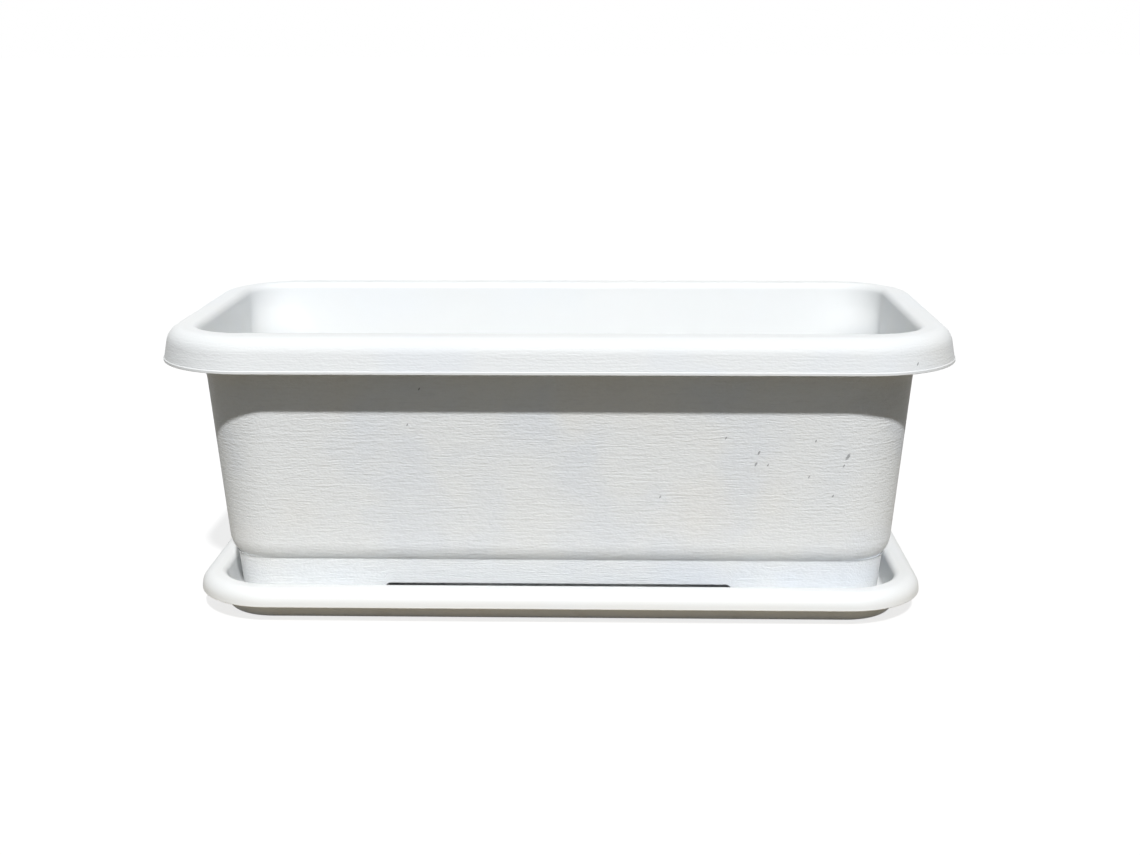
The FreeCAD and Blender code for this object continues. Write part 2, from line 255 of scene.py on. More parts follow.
class StageLook(bpy.types.PropertyGroup):
    """The floor, the lamps and the camera. Azimuths go from the front to the right."""

    floor_size: length("Floor size", "Side of the square floor", 40000)
    floor_colour: colour("Floor colour", "Colour that the camera sees", (1.0, 1.0, 1.0))
    near_bounce: colour(
        "Near bounce", "Colour that the floor throws back close by", (0.35, 0.285, 0.18))
    far_bounce: colour(
        "Far bounce", "Colour that the rest of the floor throws back", (0.05, 0.036, 0.012))
    sky_colour: colour("Sky colour", "Colour of the soft light from all sides", (0.93, 0.98, 1.0))
    sky_strength: level("Sky strength", "Level of the soft light", 0.155)
    key_strength: level("Key strength", "Level of the key light", 3.02)
    key_azimuth: angle("Key azimuth", "Direction of the key light", 7.5)
    key_elevation: angle("Key elevation", "Height of the key light above the horizon", 47.2)
    key_softness: angle("Key softness", "Angle that the key fills, seen from the object", 2.4)
    front_colour: colour("Front colour", "Colour of the light from the front", (0.3, 0.55, 1.0))
    front_strength: level("Front strength", "Level of the low light from the front", 0.1)
    front_azimuth: angle("Front azimuth", "Direction of the low light", -10)
    front_elevation: angle("Front elevation", "Height of the low light above the horizon", 12)
    front_softness: angle("Front softness", "Angle that the low light fills", 45)
    fill_strength: level("Fill strength", "Level of the light from behind", 0.35)
    fill_azimuth: angle("Fill azimuth", "Direction of the light from behind", 205)
    fill_elevation: angle("Fill elevation", "Height of the light from behind", 48)
    fill_softness: angle("Fill softness", "Angle that the light from behind fills", 60)
    camera_place: FloatVectorProperty(
        name="Camera place", description="Where the camera stands",
        default=(0.03038, -0.84805, 0.29217), subtype="TRANSLATION")
    camera_turn: angle("Camera turn", "How far the camera looks to the left", 1.735)
    camera_tilt: angle("Camera tilt", "How far the camera looks down", 13.847)
    camera_roll: angle("Camera roll", "How far the camera leans to one side", -0.202)
    lens: FloatProperty(
        name="Lens", description="Focal length in millimetres, on a sensor 36 mm wide",
        default=50.46, min=1)


class PlanterSettings(bpy.types.PropertyGroup):
    """Everything that a user may change."""

    tub: PointerProperty(type=TubSizes, name="Tub", description="Sizes of the trough")
    tray: PointerProperty(type=TraySizes, name="Tray", description="Sizes of the drip tray")
    plastic: PointerProperty(type=PlasticLook, name="Plastic", description="Colours and grain")
    stage: PointerProperty(type=StageLook, name="Stage", description="Floor, lamps and camera")


class Link:
    """An output of a node, with the sums that can be written on it."""

    def __init__(self, nodes, socket):
        self.nodes = nodes
        self.socket = socket

    def also(self, name):
        """Another output of the same node."""
        return Link(self.nodes, self.nodes.find(self.socket.node.outputs, name))

    def __add__(self, other):
        return self.nodes.math("ADD", self, other)

    def __radd__(self, other):
        return self.nodes.math("ADD", other, self)

    def __sub__(self, other):
        return self.nodes.math("SUBTRACT", self, other)

    def __rsub__(self, other):
        return self.nodes.math("SUBTRACT", other, self)

    def __mul__(self, other):
        return self.nodes.math("MULTIPLY", self, other)

    def __rmul__(self, other):
        return self.nodes.math("MULTIPLY", other, self)

    def __truediv__(self, other):
        return self.nodes.math("DIVIDE", self, other)

    def __rtruediv__(self, other):
        return self.nodes.math("DIVIDE", other, self)


class Nodes:
    """Adds nodes to one tree and links them."""

    def __init__(self, tree):
        self.tree = tree

    def find(self, sockets, key):
        """A socket by its number, its identifier or its name."""
        if isinstance(key, int):
            return sockets[key]
        matches = [socket for socket in sockets if key in (socket.identifier, socket.name)]
        if not matches:
            known = [socket.identifier for socket in sockets]
            raise RuntimeError(f"no socket {key} among {known}")
        return matches[0]

    def add(self, kind, settings=None, sockets=None, out=0):
        """A node of a type, with its settings made first, then its sockets' values and links.

        Captures are given as a setting, with the kind of data of each. The answer is one output
        of the node, or nothing where it has none.
        """
        node = self.tree.nodes.new(kind)
        for name, setting in (settings or {}).items():
            if name == "captures":
                for label, data_type in setting.items():
                    node.capture_items.new(data_type, label)
            else:
                setattr(node, name, setting)
        for key, given in (sockets or {}).items():
            socket = self.find(node.inputs, key)
            for item in given if isinstance(given, list) else [given]:
                if isinstance(item, Link):
                    self.tree.links.new(item.socket, socket)
                else:
                    socket.default_value = item
        return Link(self, self.find(node.outputs, out)) if node.outputs else None

    def math(self, operation, *numbers):
        """A sum on numbers and number sockets."""
        return self.add("ShaderNodeMath", {"operation": operation}, dict(enumerate(numbers)))

    def vector(self, operation, *vectors, out=0):
        """A sum on vectors and vector sockets."""
        return self.add(
            "ShaderNodeVectorMath", {"operation": operation}, dict(enumerate(vectors)), out)

    def scaled(self, vector, factor):
        """A vector times a number."""
        return self.add(
            "ShaderNodeVectorMath", {"operation": "SCALE"}, {"Vector": vector, "Scale": factor})

    def combine(self, x, y, z):
        """A vector from three numbers."""
        return self.add("ShaderNodeCombineXYZ", None, {0: x, 1: y, 2: z})

    def separate(self, vector):
        """The three numbers of a vector."""
        x = self.add("ShaderNodeSeparateXYZ", None, {0: vector})
        return x, x.also("Y"), x.also("Z")

    def ramp(self, number, low, high):
        """0 below low, 1 above high, and a soft step between them."""
        return self.add(
            "ShaderNodeMapRange", {"interpolation_type": "SMOOTHSTEP"},
            {"Value": number, "From Min": low, "From Max": high})

    def mix(self, factor, first, second):
        """A colour between two colours."""
        return self.add(
            "ShaderNodeMix", {"data_type": "RGBA"},
            {"Factor_Float": factor, "A_Color": first, "B_Color": second}, "Result_Color")

    def noise(self, vector, scale=1.0, detail=2.0, roughness=0.5):
        """Smooth noise, around 0.5."""
        return self.add(
            "ShaderNodeTexNoise", None,
            {"Vector": vector, "Scale": scale, "Detail": detail, "Roughness": roughness})


class Bend:
    """A corner of a wall section, with its rounding and the share of grain on the wall after it.

    fuller is how much rounder the piece's four corners are there, seen from above, than corners
    that stay level with the rim's. foot marks what a notch lifts.
    """

    def __init__(self, inset, height, radius=0.0, grain=0.0, fuller=0.0, foot=False):
        self.place = Vector((inset, height))
        self.radius = radius
        self.grain = grain
        self.fuller = fuller
        self.foot = foot

    def arc(self, before, after):
        """Points of the arc that rounds this corner, and short steps along the walls beside it."""
        back = (before.place - self.place).normalized()
        ahead = (after.place - self.place).normalized()
        half_angle = back.angle(ahead) / 2
        reach = self.radius / math.tan(half_angle)
        centre = self.place + (back + ahead).normalized() * (self.radius / math.sin(half_angle))
        spokes = [(self.place + side * reach - centre).normalized() for side in (back, ahead)]
        steps = max(2, math.ceil((math.pi - 2 * half_angle) / BEND_STEP))
        points = [
            centre + spokes[0].slerp(spokes[1], step / steps) * self.radius
            for step in range(steps + 1)
        ]
        space = min(SUPPORT, self.radius / 4)
        return [points[0] + back * space, *points, points[-1] + ahead * space]


def section_wire(name, bends):
    """A wire with the rounded wall section: insets along X, heights along Y."""
    points = []
    grains = []
    fullers = []
    feet = []
    grain_before = bends[0].grain
    for index, bend in enumerate(bends):
        arc = [bend.place]
        if bend.radius:
            arc = bend.arc(bends[index - 1], bends[index + 1])
        last = max(1, len(arc) - 1)
        for number, point in enumerate(arc):
            points.append(point)
            grains.append(grain_before + (bend.grain - grain_before) * number / last)
            fullers.append(bend.fuller)
            feet.append(float(bend.foot))
        grain_before = bend.grain
    along = [0.0]
    for first, second in zip(points, points[1:]):
        along.append(along[-1] + (second - first).length)
    wire = wire_object(name, [(point.x, point.y, 0) for point in points], closed=False)
    add_attribute(wire, "grained", "FLOAT", grains)
    add_attribute(wire, "fuller", "FLOAT", fullers)
    add_attribute(wire, "foot", "FLOAT", feet)
    add_attribute(wire, "along", "FLOAT", along)
    return wire


def wire_object(name, points, closed):
    """An object of bare edges through the points."""
    count = len(points)
    edges = [(index, index + 1) for index in range(count - 1)]
    if closed:
        edges.append((count - 1, 0))
    mesh = bpy.data.meshes.new(name)
    mesh.from_pydata(points, edges, [])
    wire = bpy.data.objects.new(name, mesh)
    bpy.context.scene.collection.objects.link(wire)
    return wire


def add_attribute(wire, name, kind, values):
    """Gives each point of a wire a number or a vector."""
    attribute = wire.data.attributes.new(name, kind, "POINT")
    if kind == "FLOAT":
        attribute.data.foreach_set("value", values)
    else:
        attribute.data.foreach_set("vector", [number for vector in values for number in vector])


def spread(start, end, step):
    """Evenly spaced places from start to end, both included."""
    count = max(1, math.ceil(abs(end - start) / step))
    return [start + (end - start) * index / count for index in range(count + 1)]


def notch_stops(half_notch, height, radius):
    """Places from the middle of a notch past its end, each with the lift of the foot there."""
    stops = [(place, height) for place in spread(0.0, half_notch - radius, COLUMN)]
    quarter = spread(0.0, math.pi / 2, BEND_STEP)[1:]
    stops += [
        (half_notch - radius + radius * math.sin(turn), height - radius + radius * math.cos(turn))
        for turn in quarter
    ]
    stops.append((half_notch + HAIR, 0.0))
    return stops


def side_stops(straight, notch=None):
    """Places along the straight stretch of one side, each with the lift of the foot there."""
    half = notch_stops(*notch) if notch else [(0.0, 0.0)]
    rest = spread(half[-1][0], straight - COLUMN / 4, COLUMN)[1:]
    half += [(place, 0.0) for place in rest + [straight]]
    return [(-place, lift) for place, lift in reversed(half[1:])] + half


def wrapped(points):
    """Where the points of a closed wire lie once it is bent into a circle of the same length."""
    lengths = [(points[index] - points[index - 1]).length for index in range(len(points))]
    round_trip = sum(lengths)
    wraps = []
    travelled = 0.0
    for step in lengths:
        travelled += step
        turn = 2 * math.pi * travelled / round_trip
        wraps.append(Vector((math.cos(turn), math.sin(turn), 0)) * (round_trip / (2 * math.pi)))
    return wraps


def rim_wire(name, half_length, half_width, radius, notch=None, end_reach=0.0):
    """A closed wire round a rim.

    Each of its points knows the way inwards, the way it moves where the corners are fuller, and
    the lift of the foot.
    """
    long_stretch = half_length - radius
    short_stretch = half_width - radius
    notch_end = notch[0] + HAIR if notch else 0.0
    end = (short_stretch, half_length, side_stops(short_stretch), long_stretch, 0.0)
    front = (long_stretch, half_width, side_stops(long_stretch, notch), short_stretch, notch_end)

    points = []
    inwards = []
    tucks = []
    lifts = []
    for quarter in range(4):
        turn = Matrix.Rotation(math.pi / 2 * quarter, 2)
        stretch, reach, stops, other, still = front if quarter % 2 else end
        for place, lift in stops:
            points.append(turn @ Vector((reach, place)))
            inwards.append(turn @ Vector((-1, 0)))
            slide = max(0.0, abs(place) - still) / (stretch - still)
            tucks.append(turn @ Vector((0, -math.copysign(slide, place))))
            lifts.append(lift)
        for step in range(1, CORNER_STEPS):
            swing = math.pi / 2 * step / CORNER_STEPS
            spoke = Vector((math.cos(swing), math.sin(swing)))
            points.append(turn @ (Vector((other, stretch)) + spoke * radius))
            inwards.append(turn @ -spoke)
            tucks.append(turn @ (spoke - Vector((1, 1))))
            lifts.append(0.0)

    wire = wire_object(name, [(*point, 0) for point in points], closed=True)
    inwards = [(vector.x * (1 - end_reach), vector.y, 0) for vector in inwards]
    add_attribute(wire, "inward", "FLOAT_VECTOR", inwards)
    add_attribute(wire, "tuck", "FLOAT_VECTOR", [(*vector, 0) for vector in tucks])
    add_attribute(wire, "wrap", "FLOAT_VECTOR", wrapped(points))
    add_attribute(wire, "lift", "FLOAT", lifts)
    return wire


def new_tree(name, inputs):
    """An empty geometry tree with its named inputs, and their links."""
    tree = bpy.data.node_groups.new(name, "GeometryNodeTree")
    tree.interface.new_socket("Geometry", in_out="OUTPUT", socket_type="NodeSocketGeometry")
    for label, kind in inputs.items():
        tree.interface.new_socket(label, in_out="INPUT", socket_type=f"NodeSocket{kind}")
    nodes = Nodes(tree)
    entry = nodes.add("NodeGroupInput")
    return nodes, {label: entry.also(label) for label in inputs}


def sweep(nodes, path, section, to_centre=False, foot_slope=None):
    """A wall whose section follows a path, with insets going inwards and heights going up.

    Inwards is where the path's attribute says, or to the centre of a circle. With a slope given,
    the foot rises along the lean of the wall above it.
    """
    position = nodes.add("GeometryNodeInputPosition")
    path = nodes.add(
        "GeometryNodeCaptureAttribute", {"captures": {"Place": "VECTOR"}},
        {"Geometry": path, "Place": position}, "Geometry")
    section = nodes.add(
        "GeometryNodeCaptureAttribute", {"captures": {"Place": "VECTOR"}},
        {"Geometry": section, "Place": position}, "Geometry")
    path_place = path.also("Place")
    inset, height, _ = nodes.separate(section.also("Place"))
    wall = nodes.add("GeometryNodeCurveToMesh", None, {"Curve": path, "Profile Curve": section})
    if to_centre:
        inward = nodes.vector("NORMALIZE", nodes.scaled(path_place, -1))
    else:
        inward = named(nodes, "inward", "FLOAT_VECTOR")
    if foot_slope is not None:
        rise = named(nodes, "lift", "FLOAT") * named(nodes, "foot", "FLOAT")
        height = height + rise
        inset = inset - rise * foot_slope
    place = nodes.vector("ADD", path_place, nodes.scaled(inward, inset))
    tuck = nodes.scaled(named(nodes, "tuck", "FLOAT_VECTOR"), named(nodes, "fuller", "FLOAT"))
    place = nodes.vector("ADD", place, tuck)
    place = nodes.vector("ADD", place, nodes.combine(0.0, 0.0, height))
    return nodes.add("GeometryNodeSetPosition", None, {"Geometry": wall, "Position": place})


def named(nodes, name, data_type):
    """An attribute of the points, by its name."""
    return nodes.add("GeometryNodeInputNamedAttribute", {"data_type": data_type}, {"Name": name})


def wire_curve(nodes, wire):
    """The curve of a wire object."""
    mesh = nodes.add("GeometryNodeObjectInfo", None, {"Object": wire}, "Geometry")
    return nodes.add("GeometryNodeMeshToCurve", None, {"Mesh": mesh})


def moved_up(nodes, geometry, height):
    """Geometry lifted by a height."""
    return nodes.add(
        "GeometryNodeTransform", None,
        {"Geometry": geometry, "Translation": nodes.combine(0.0, 0.0, height)})


def moulding_tree():
    """A swept wall closed by a floor, which may have rows of drain holes and a gate mark."""
    nodes, given = new_tree("Moulding", {
        "Rim": "Object",
        "Section": "Object",
        "Drain Section": "Object",
        "Floor Inset": "Float",
        "Floor Top": "Float",
        "Floor Underside": "Float",
        "Foot Slope": "Float",
        "Foot Height": "Float",
        "Has Drains": "Bool",
        "Drain Radius": "Float",
        "Drain Pitch": "Float",
        "Drain Row Spacing": "Float",
        "Drains Per Row": "Int",
        "Drain Rows": "Int",
        "Mark Radius": "Float",
        "Mark Height": "Float",
        "Material": "Material",
    })
    rim = wire_curve(nodes, given["Rim"])
    wall = sweep(nodes, rim, wire_curve(nodes, given["Section"]), foot_slope=given["Foot Slope"])
    wrap = nodes.vector(
        "ADD", named(nodes, "wrap", "FLOAT_VECTOR"),
        nodes.combine(0.0, 0.0, named(nodes, "along", "FLOAT")))
    wall = nodes.add(
        "GeometryNodeStoreNamedAttribute", {"data_type": "FLOAT_VECTOR"},
        {"Geometry": wall, "Name": "wrap", "Value": wrap})

    # Outline of the floor, inside the swept ledge
    inward = named(nodes, "inward", "FLOAT_VECTOR")
    outline = nodes.add(
        "GeometryNodeSetPosition", None,
        {"Geometry": rim, "Offset": nodes.scaled(inward, given["Floor Inset"])})

    # Drain holes on a grid of points
    grid = nodes.add("GeometryNodeMeshGrid", None, {
        "Size X": given["Drain Pitch"] * (given["Drains Per Row"] - 1),
        "Size Y": given["Drain Row Spacing"] * (given["Drain Rows"] - 1),
        "Vertices X": given["Drains Per Row"],
        "Vertices Y": given["Drain Rows"],
    })
    circle = nodes.add(
        "GeometryNodeCurvePrimitiveCircle", None,
        {"Resolution": CIRCLE_POINTS, "Radius": given["Drain Radius"]})
    lip = sweep(nodes, circle, wire_curve(nodes, given["Drain Section"]), to_centre=True)

    def repeated(shape):
        instances = nodes.add(
            "GeometryNodeInstanceOnPoints", None,
            {"Points": grid, "Instance": shape, "Selection": given["Has Drains"]})
        return nodes.add("GeometryNodeRealizeInstances", None, {"Geometry": instances})

    edges = nodes.add("GeometryNodeJoinGeometry", None, {"Geometry": [outline, repeated(circle)]})
    sheet = nodes.add("GeometryNodeFillCurve", None, {"Curve": edges})
    top = moved_up(nodes, sheet, given["Floor Top"])
    underside = nodes.add(
        "GeometryNodeFlipFaces", None, {"Mesh": moved_up(nodes, sheet, given["Floor Underside"])})

    # Gate mark: a low disc that starts inside the floor
    depth = given["Mark Height"] * 2
    disc = nodes.add(
        "GeometryNodeMeshCylinder", None,
        {"Vertices": CIRCLE_POINTS, "Radius": given["Mark Radius"], "Depth": depth}, "Mesh")
    mark = nodes.add("GeometryNodeSwitch", {"input_type": "GEOMETRY"}, {
        "Switch": given["Has Drains"], "True": moved_up(nodes, disc, given["Floor Underside"])})

    whole = nodes.add(
        "GeometryNodeJoinGeometry", None,
        {"Geometry": [wall, top, underside, repeated(lip), mark]})
    whole = nodes.add(
        "GeometryNodeMergeByDistance", None, {"Geometry": whole, "Distance": HAIR / 4})
    whole = moved_up(nodes, whole, given["Foot Height"])
    whole = nodes.add("GeometryNodeSetShadeSmooth", {"domain": "FACE"}, {"Geometry": whole})
    edge_angle = nodes.add("GeometryNodeInputMeshEdgeAngle")
    sharp = nodes.add(
        "FunctionNodeCompare", {"data_type": "FLOAT", "operation": "GREATER_THAN"},
        {0: edge_angle, 1: SHARP_ANGLE})
    whole = nodes.add(
        "GeometryNodeSetShadeSmooth", {"domain": "EDGE"},
        {"Geometry": whole, "Selection": sharp, "Shade Smooth": False})
    whole = nodes.add("GeometryNodeRealizeInstances", None, {"Geometry": whole})
    whole = nodes.add(
        "GeometryNodeSetMaterial", None, {"Geometry": whole, "Material": given["Material"]})
    nodes.add("NodeGroupOutput", None, {"Geometry": whole})
    return nodes.tree


def moulded_piece(name, inputs):
    """A plain mesh object made by the moulding tree from its inputs."""
    tree = moulding_tree()
    carrier = bpy.data.objects.new(name, bpy.data.meshes.new(name))
    bpy.context.scene.collection.objects.link(carrier)
    modifier = carrier.modifiers.new("moulding", "NODES")
    modifier.node_group = tree
    identifiers = {
        item.name: item.identifier
        for item in tree.interface.items_tree if item.in_out == "INPUT"
    }
    for label, value in inputs.items():
        modifier[identifiers[label]] = value
    graph = bpy.context.evaluated_depsgraph_get()
    mesh = bpy.data.meshes.new_from_object(carrier.evaluated_get(graph), depsgraph=graph)
    carrier.modifiers.clear()
    carrier.data = mesh
    mesh.name = name
    wires = [value for value in inputs.values() if isinstance(value, bpy.types.Object)]
    for wire in set(wires):
        bpy.data.objects.remove(wire)
    for spare in ("inward", "tuck", "lift", "fuller", "foot", "along"):
        if spare in mesh.attributes:
            mesh.attributes.remove(mesh.attributes[spare])
    if not mesh.polygons:
        raise RuntimeError(f"{name} came out empty")
    return carrier


def inset_at(height, low, high):
    """The inset at a height on the straight wall through two places."""
    return low[0] + (high[0] - low[0]) * (height - low[1]) / (high[1] - low[1])


def soft_step(part):
    """A part from 0 to 1 that starts and ends gently."""
    return part * part * (3 - 2 * part)


def tub_section(size):
    """The trough's wall, from the floor up the inside, over the rim and down to the foot."""
    wall = size.wall
    height = TUB_HIGH.z - TUB_LOW.z
    rim_edge = height - size.rim_drop
    shoulder = size.plinth_height + size.shoulder_rise
    skirt_line = ((size.bead_reach, rim_edge), (size.rim_lean, height))
    body_line = ((size.shoulder_inset, shoulder), (size.body_inset, rim_edge))
    plinth_line = ((size.foot_inset, 0.0), (size.crease_inset, size.plinth_height))
    underside = height - wall
    floor_top = size.floor_rise + wall
    inner_shoulder = shoulder + wall / 2
    inner_crease = size.plinth_height + wall / 2
    bead_top = rim_edge + size.bead_height
    bead_radius = size.bead_height / 4
    foot_radius = wall / 5
    under_radius = size.crown_radius - wall
    ledge = size.foot_inset + size.foot_corner_radius * LEDGE_SHARE

    # The corners are fuller on the body and tighter at the mouth, and change gently in between
    full = size.body_fuller
    foot_full = full * FOOT_FULLER
    crease_full = full * CREASE_FULLER
    shoulder_full = full * SHOULDER_FULLER
    tight = -size.mouth_tighter
    full_below = rim_edge - size.easing_below
    eased = []
    for step in range(EASING_STEPS):
        part = step / EASING_STEPS
        place = full_below + (underside - under_radius - full_below) * part
        eased.append((place, full + (tight - full) * soft_step(part)))

    bends = [
        Bend(ledge, floor_top),
        Bend(
            inset_at(floor_top, *plinth_line) + wall, floor_top, size.floor_radius,
            fuller=foot_full),
        Bend(size.crease_inset + wall, inner_crease, wall / 2, fuller=crease_full),
        Bend(
            inset_at(inner_shoulder, *body_line) + wall, inner_shoulder,
            size.shoulder_radius - wall, fuller=shoulder_full),
        *(
            Bend(inset_at(place, *body_line) + wall, place, fuller=amount)
            for place, amount in eased),
        Bend(inset_at(height, *body_line) + wall, height, size.mouth_radius, fuller=tight),
        Bend(size.rim_lean, height, size.crown_radius, grain=SKIRT_GRAIN),
        Bend(size.bead_reach, bead_top + size.bead_reach, bead_radius, grain=BEAD_GRAIN),
        Bend(0.0, bead_top, bead_radius),
        Bend(0.0, rim_edge, bead_radius),
        Bend(size.bead_reach + wall, rim_edge, bead_radius),
        Bend(inset_at(underside, *skirt_line) + wall, underside, under_radius),
        Bend(inset_at(underside, *body_line), underside, under_radius, grain=1.0, fuller=tight),
        *(
            Bend(inset_at(place, *body_line), place, grain=1.0, fuller=amount)
            for place, amount in reversed(eased)),
        Bend(
            size.shoulder_inset, shoulder, size.shoulder_radius, grain=1.0, fuller=shoulder_full),
        Bend(size.crease_inset, size.plinth_height, wall, grain=1.0, fuller=crease_full),
        Bend(size.foot_inset, 0.0, foot_radius, fuller=foot_full, foot=True),
        Bend(size.foot_inset + wall, 0.0, foot_radius, fuller=foot_full, foot=True),
        Bend(inset_at(size.floor_rise, *plinth_line) + wall, size.floor_rise, fuller=foot_full),
        Bend(ledge, size.floor_rise),
    ]
    return bends, ledge, floor_top


def tray_section(size):
    """The tray's wall, from the floor up the inside, over the rim and down to the foot ring."""
    wall = size.wall
    height = TRAY_HIGH.z - TRAY_LOW.z
    floor_top = size.foot_height + wall
    rim_edge = height - size.rim_drop
    wall_inset = size.rim_width + size.flare
    inner_line = ((wall_inset, floor_top), (size.rim_width, height))
    skirt_line = ((0.0, rim_edge), (size.rim_lean, height))
    base_inset = inset_at(0.0, *inner_line) - wall
    foot_inner = base_inset + size.edge_radius + size.foot_width
    ledge = foot_inner + size.foot_width
    underside = height - wall
    skirt_radius = wall / 4
    ring_radius = size.foot_height / 4
    bends = [
        Bend(ledge, floor_top),
        Bend(wall_inset, floor_top, size.floor_radius),
        Bend(size.rim_width, height, size.lip_radius),
        Bend(size.rim_lean, height, size.crown_radius),
        Bend(0.0, rim_edge, skirt_radius),
        Bend(wall, rim_edge, skirt_radius),
        Bend(inset_at(underside, *skirt_line) + wall, underside, size.crown_radius - wall),
        Bend(inset_at(underside, *inner_line) - wall, underside, size.lip_radius / 2),
        Bend(base_inset, 0.0, size.edge_radius),
        Bend(foot_inner, 0.0, ring_radius),
        Bend(foot_inner, size.foot_height, ring_radius),
        Bend(ledge, size.foot_height),
    ]
    return bends, ledge, floor_top


def scuff_mask(nodes, place):
    """1 on the dark marks of the front, each a short slanting stroke, and 0 elsewhere."""
    lean = Vector((math.cos(SCUFF_LEAN), 0, math.sin(SCUFF_LEAN)))
    along = lean / SCUFF_HALF_LENGTH
    across = Vector((-lean.z, 0, lean.x)) / SCUFF_HALF_WIDTH
    ragged = nodes.noise(place, scale=SCUFF_NOISE_SCALE, detail=1.0) - 0.5
    behind = nodes.ramp(nodes.separate(place)[1], *FRONT_DEPTH) * FAR_OFF
    flat = nodes.combine(
        nodes.vector("DOT_PRODUCT", place, tuple(along), out="Value"),
        nodes.vector("DOT_PRODUCT", place, tuple(across), out="Value"), behind)
    nearest = None
    for x, z, size in SCUFFS:
        point = Vector((x, 0, z))
        centre = (point.dot(along), point.dot(across), 0.0)
        distance = nodes.vector("DISTANCE", flat, centre, out="Value") / size
        nearest = distance if nearest is None else nodes.math("MINIMUM", nearest, distance)
    return 1 - nodes.ramp(nearest + ragged * SCUFF_RAGGED, *SCUFF_EDGE)


def grain_relief(nodes, look, wrap):
    """The height of the grain: ripples, finer pebbles and long threads along the wall."""
    u, v, along = nodes.separate(wrap)
    sway = nodes.noise(
        nodes.combine(u / SWAY_LENGTH, v / SWAY_LENGTH, along / SWAY_HEIGHT), detail=1.0) - 0.5
    swayed = along + sway * SWAY_DEPTH

    def streaks(streak_length, streak_height, detail):
        place = nodes.combine(u / streak_length, v / streak_length, swayed / streak_height)
        return nodes.noise(place, detail=detail)

    ripple = streaks(look.grain_length, look.grain_height, 1.5)
    pebble = streaks(look.grain_length / PEBBLE_SHORTER, look.grain_height / PEBBLE_LOWER, 0.5)
    thread = streaks(look.thread_length, look.grain_height, 0.5)
    return ripple, ripple * RIPPLE_SHARE + pebble * PEBBLE_SHARE + thread * THREAD_SHARE


def plastic(name, look, base, scuffed):
    """Matt white plastic: grain on the outer walls, faint tints, painted light on the grained
    walls, painted shade in the grain's hollows, a warm darker tint low down and perhaps dark
    marks.
    """
    material = bpy.data.materials.new(name)
    material.use_nodes = True
    material.node_tree.nodes.clear()
    nodes = Nodes(material.node_tree)
    place = nodes.add("ShaderNodeTexCoord", None, None, "Object")
    wrap = nodes.add("ShaderNodeAttribute", {"attribute_name": "wrap"}, None, "Vector")
    grained = nodes.add("ShaderNodeAttribute", {"attribute_name": "grained"}, None, "Fac")
    ripple, grain = grain_relief(nodes, look, wrap)
    relief = grain * grained
    satin = nodes.noise(place, scale=SATIN_SCALE, detail=1.0)
    bump = nodes.add("ShaderNodeBump", None, {
        "Strength": 1.0, "Distance": look.grain_depth, "Height": relief + satin * SATIN_SHARE})

    # Tints in broad patches, painted light that makes the grained walls lighter than the smooth
    # plastic, and painted shade in the hollows of the grain
    cool = nodes.noise(place, scale=COOL_SCALE, roughness=0.55)
    warm = nodes.noise(nodes.vector("ADD", place, WARM_OFFSET), scale=WARM_SCALE)
    tinted = (grained * (1 - SMOOTH_TINT) + SMOOTH_TINT) * look.tint_share
    # Painted light: the grained outer walls take a lighter colour
    shade = nodes.mix(grained, base, (*look.grain_painted_light_colour, 1))
    shade = nodes.mix(nodes.ramp(cool, *COOL_RANGE) * tinted, shade, (*look.cool_tint, 1))
    shade = nodes.mix(nodes.ramp(warm, *WARM_RANGE) * tinted, shade, (*look.warm_tint, 1))
    # Painted shade darkens the hollows of the grain
    hollow_shade = nodes.ramp(1 - relief, *HOLLOW_SHADE_RANGE) * grained
    shade = nodes.mix(hollow_shade * HOLLOW_SHADE_SHARE, shade, HOLLOW_SHADE_COLOUR)

    # Darker and warmer in patches towards the bottom
    spots = nodes.noise(place, scale=LOW_TINT_SCALE, detail=3.0, roughness=0.6)
    low = 1 - nodes.ramp(nodes.separate(place)[2], *LOW_TINT_HEIGHTS)
    low_tint = low * nodes.ramp(spots, *LOW_TINT_RANGE)
    shade = nodes.mix(low_tint * LOW_TINT_SHARE, shade, (*look.low_tint_colour, 1))

    rough = look.roughness + grained * (look.grain_roughness - look.roughness)
    rough = rough + (cool - 0.5) * PATCHY_ROUGHNESS + (ripple - 0.5) * RIPPLED_ROUGHNESS
    if scuffed:
        marks = scuff_mask(nodes, place) * nodes.ramp(grained, *SCUFF_GRAIN)
        shade = nodes.mix(marks * look.scuff_share, shade, (*look.scuff_colour, 1))
        rough = rough + marks * SCUFFED_ROUGHNESS
    surface = nodes.add("ShaderNodeBsdfPrincipled", None, {
        "Base Color": shade, "Roughness": rough, "IOR": PLASTIC_IOR, "Normal": bump})
    nodes.add("ShaderNodeOutputMaterial", None, {"Surface": surface})
    return material


